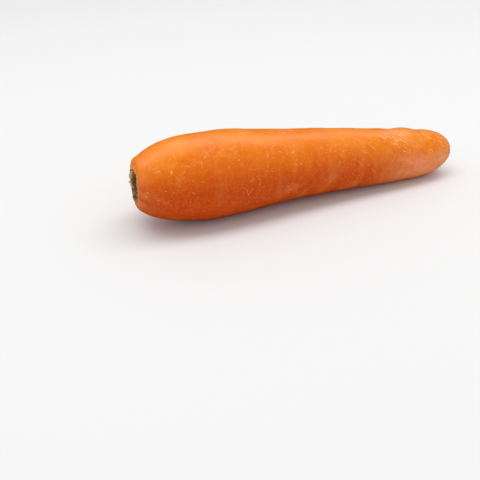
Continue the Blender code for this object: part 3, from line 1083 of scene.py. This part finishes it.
def makeStemFinish():
    look = {
        "core": colour(0.46, 0.22, 0.065),
        "ring": colour(0.22, 0.12, 0.045),
        "paleRing": colour(0.40, 0.26, 0.11),
        "edge": colour(0.035, 0.026, 0.014),
        "wobble": 0.22,  # how far the rings wander
        "ringTurn": 34.0,  # how closely they follow one another
        "paleRingAmount": 0.55,
        "mouldAmount": 0.65,
        "mould": (0.0011, 0.50, 0.68, 12.0, 4.0),  # size, low, high, seed, detail
    }
    material, tree, shader, solid = newMaterial("cutStem")
    share = valueOf(tree, "ringShare")
    onTop = valueOf(tree, "onTop")
    grit = grainOf(tree, solid, 900.0, 4.0)
    place = plus(tree, share, product(tree, less(tree, grit, 0.5), look["wobble"]))
    base = tint(tree, remap(tree, place, 0.25, 0.55), look["core"], look["ring"])
    waves = calc(tree, "SINE", product(tree, place, look["ringTurn"]))
    base = tint(tree, remap(tree, waves, 0.1, 1.0, 0.0, look["paleRingAmount"]), base, look["paleRing"])
    base = tint(tree, remap(tree, place, 0.78, 0.93), base, look["edge"])
    mould = cloudMask(tree, solid, *look["mould"])
    base = tint(tree, product(tree, mould, look["mouldAmount"]), base, look["edge"])
    base = tint(tree, remap(tree, onTop, 0.5, 1.0, 1.0, 0.0), base, look["edge"])
    feedAll(tree, shader, {"Base Color": base, "Roughness": remap(tree, grit, 0.3, 0.7, 0.62, 0.88, False)})
    roughen(tree, shader, plus(tree, grit, product(tree, waves, 0.2)), 0.6, 0.0002)
    return material


def makeStalkFinish():
    look = {
        # dark brown for low down the stalks and the gaps of their tops, partly painted shade
        "foot": colour(0.15, 0.056, 0.012),
        "brown": colour(0.21, 0.080, 0.018),
        "middle": colour(0.40, 0.195, 0.065),
        "olive": colour(0.48, 0.31, 0.125),
        "straw": colour(0.95, 0.75, 0.46),
        "strawAmount": 0.9,
        "gapShadeAmount": 0.30,
        "fibres": (0.00035, 0.004, 0.35, 0.65, 2.0),  # pitch, reach, low, high, seed
        "coarse": (0.0011, 0.005, 0.40, 0.60, 9.0),
        "blotch": (0.0022, 0.34, 0.54, 14.0, 3.0),  # size, low, high, seed, detail
        "ends": (0.00045, 0.42, 0.60, 31.0, 2.0),
    }
    material, tree, shader, solid = newMaterial("driedStalk")
    fibreMap = mapOf(tree, "fibreMap")
    lift = valueOf(tree, "lift")
    fibres = streakMask(tree, fibreMap, *look["fibres"])
    coarse = streakMask(tree, fibreMap, *look["coarse"])
    blotch = cloudMask(tree, solid, *look["blotch"])
    # the torn tops show the ends of the strands, the sides show their length
    ends = cloudMask(tree, solid, *look["ends"])
    onTop = remap(tree, lift, 0.82, 0.97)
    fibres = plus(tree, product(tree, fibres, less(tree, 1.0, onTop)), product(tree, ends, onTop))
    level = plus(tree, lift, product(tree, less(tree, fibres, 0.5), 0.35))
    # darker low down the stalks: partly their own darker foot, partly painted shade deep in the hollow
    base = tint(tree, remap(tree, level, 0.15, 0.75), look["foot"], look["middle"])
    base = tint(tree, product(tree, coarse, remap(tree, level, 0.3, 0.9)), base, look["olive"])
    # dry straw on the highest parts
    dry = product(tree, remap(tree, level, 0.55, 0.85), remap(tree, blotch, 0.0, 1.0, 0.25, 1.0))
    rise = put(tree, "SeparateXYZ", {"Vector": fibreMap}).outputs["Y"]
    tall = product(tree, remap(tree, rise, 0.0023, 0.0034), remap(tree, fibres, 0.0, 1.0, 0.45, 1.0))
    dry = either(tree, product(tree, dry, 0.5), tall)
    base = tint(tree, product(tree, dry, look["strawAmount"]), base, look["straw"])
    # each stalk's brownness: partly its own colour, partly painted shade for the stalks low in the hollow
    brown = product(tree, valueOf(tree, "brown"), remap(tree, fibres, 0.0, 1.0, 1.0, 0.85))
    base = tint(tree, brown, base, look["brown"])
    # painted shade: darker between the strand ends on the torn tops
    gapShade = product(tree, less(tree, 1.0, ends), onTop)
    base = tint(tree, product(tree, gapShade, look["gapShadeAmount"]), base, look["foot"])
    feedAll(tree, shader, {
        "Base Color": base,
        "Roughness": between(tree, fibres, 0.70, 0.92),
        "Specular IOR Level": 0.12,
    })
    roughen(tree, shader, plus(tree, fibres, coarse), 0.55, 0.0002)
    return material


def makeFringeFinish():
    look = {
        "pale": colour(0.74, 0.52, 0.30),
        "brown": colour(0.38, 0.22, 0.10),
        "blotch": (0.0024, 0.40, 0.60, 4.0, 2.0),  # size, low, high, seed, detail
    }
    material, tree, shader, solid = newMaterial("tornFringe")
    blotch = cloudMask(tree, solid, *look["blotch"])
    amount = product(tree, blotch, remap(tree, valueOf(tree, "along"), 0.0, 1.0, 0.4, 1.0))
    feedAll(tree, shader, {
        "Base Color": tint(tree, amount, look["brown"], look["pale"]),
        "Roughness": between(tree, blotch, 0.85, 0.7),
    })
    roughen(tree, shader, grainOf(tree, solid, 3000.0, 2.0), 0.4, 0.00008)
    return material


cutStem = makeStemFinish()
driedStalk = makeStalkFinish()
tornFringe = makeFringeFinish()
makeStemStub(cutStem)
for number, stalk in enumerate(leafStalks["stalks"], 1):
    makeLeafStalk(number, stalk, driedStalk)
makeCrownFringe(tornFringe)
makeTipHairs(tornFringe)
print("crown and tip details made")


# the stage, the lights and the camera
stageLook = {
    "floorSize": 6.0,
    "floorColour": colour(0.725, 0.725, 0.725),
    "floorBounce": colour(0.64, 0.64, 0.64),  # the light it throws back on the carrot
    "floorGloss": colour(0.05, 0.05, 0.05),  # and how pale its reflection in the skin is
    "farFloorColour": colour(0.84, 0.84, 0.84),  # out where the light falls off
    "farFloor": (0.50, 1.1),
    "floorFade": (0.8, 1.6),  # where it melts into the room, from the middle
    "skyColour": colour(1.0, 1.0, 1.0),
    "skySeen": 0.90,  # how bright the room looks
    "skyLight": 0.84,  # how much light it gives
    "skyGloss": (0.04, 0.30),  # how bright its reflection in the skin is, low down and overhead
    "topLight": {"long": 1.7, "wide": 0.42, "power": 6.9, "place": (0.02, 0.05, 1.0), "sheen": False},
    "sheenLight": {"long": 1.7, "wide": 0.60, "power": 14.0, "place": (0.02, 0.45, 0.89), "sheen": True},
}

cameraView = {
    "azimuth": -23.0,
    "elevation": 30.0,
    "fieldOfView": 35.0,
    "aim": (-0.0494, -0.0319, 0.0),  # the middle of the view on the surface
    "distance": 0.3742,
}


def makeStage():
    half = stageLook["floorSize"] / 2
    corners = [(-half, -half, 0), (half, -half, 0), (half, half, 0), (-half, half, 0)]
    floor = addObject("floor", meshOf("floor", corners, [(0, 1, 2, 3)]))
    material, tree, shader, solid = newMaterial("paleFloor")
    ray = put(tree, "LightPath").outputs
    away = put(tree, "VectorMath", {"Vector": solid}, operation="LENGTH").outputs["Value"]
    pale = tint(tree, remap(tree, away, *stageLook["farFloor"]),
                stageLook["floorColour"], stageLook["farFloorColour"])
    pale = tint(tree, ray["Is Diffuse Ray"], pale, stageLook["floorBounce"])
    pale = tint(tree, ray["Is Glossy Ray"], pale, stageLook["floorGloss"])
    feedAll(tree, shader, {
        "Base Color": pale,
        "Roughness": 0.7,
        "Specular IOR Level": 0.0,
        "Alpha": remap(tree, away, *stageLook["floorFade"], 1.0, 0.0),
    })
    floor.data.materials.append(material)
    world = bpy.data.worlds.new("softSky")
    bpy.context.scene.world = world
    world.use_nodes = True
    world.cycles.sampling_method = "NONE"  # so that the skin's reflections see skyGloss and nothing else
    room = world.node_tree
    sky = room.nodes["Background"]
    sky.inputs["Color"].default_value = stageLook["skyColour"]
    ray = put(room, "LightPath").outputs
    lit = between(room, ray["Is Camera Ray"], stageLook["skyLight"], stageLook["skySeen"])
    upward = put(room, "SeparateXYZ", {"Vector": put(room, "TexCoord").outputs["Generated"]}).outputs["Z"]
    gloss = remap(room, upward, 0.35, 0.90, *stageLook["skyGloss"])
    feed(room, sky.inputs["Strength"], between(room, ray["Is Glossy Ray"], lit, gloss))


def makeAreaLight(name, look):
    data = bpy.data.lights.new(name, "AREA")
    data.shape = "RECTANGLE"
    data.size = look["long"]
    data.size_y = look["wide"]
    data.energy = look["power"]
    light = addObject(name, data)
    light.location = look["place"]
    light.rotation_euler = (math.atan2(-look["place"][1], look["place"][2]), 0.0, 0.0)  # long side along X
    light.visible_glossy = look["sheen"]  # one light shades the carrot, the other only shines in its skin
    light.visible_diffuse = not look["sheen"]


def makeCamera():
    around = math.radians(cameraView["azimuth"])
    up = math.radians(cameraView["elevation"])
    towards = Vector((math.sin(around) * math.cos(up), -math.cos(around) * math.cos(up), math.sin(up)))
    data = bpy.data.cameras.new("camera")
    data.angle = math.radians(cameraView["fieldOfView"])
    data.clip_start = 0.01
    camera = addObject("camera", data)
    camera.location = Vector(cameraView["aim"]) + towards * cameraView["distance"]
    camera.rotation_euler = towards.to_track_quat("Z", "Y").to_euler()
    bpy.context.scene.camera = camera


makeStage()
makeAreaLight("topLight", stageLook["topLight"])
makeAreaLight("sheenLight", stageLook["sheenLight"])
makeCamera()
bpy.context.scene.view_settings.view_transform = "Standard"
print("stage, lights and camera set")
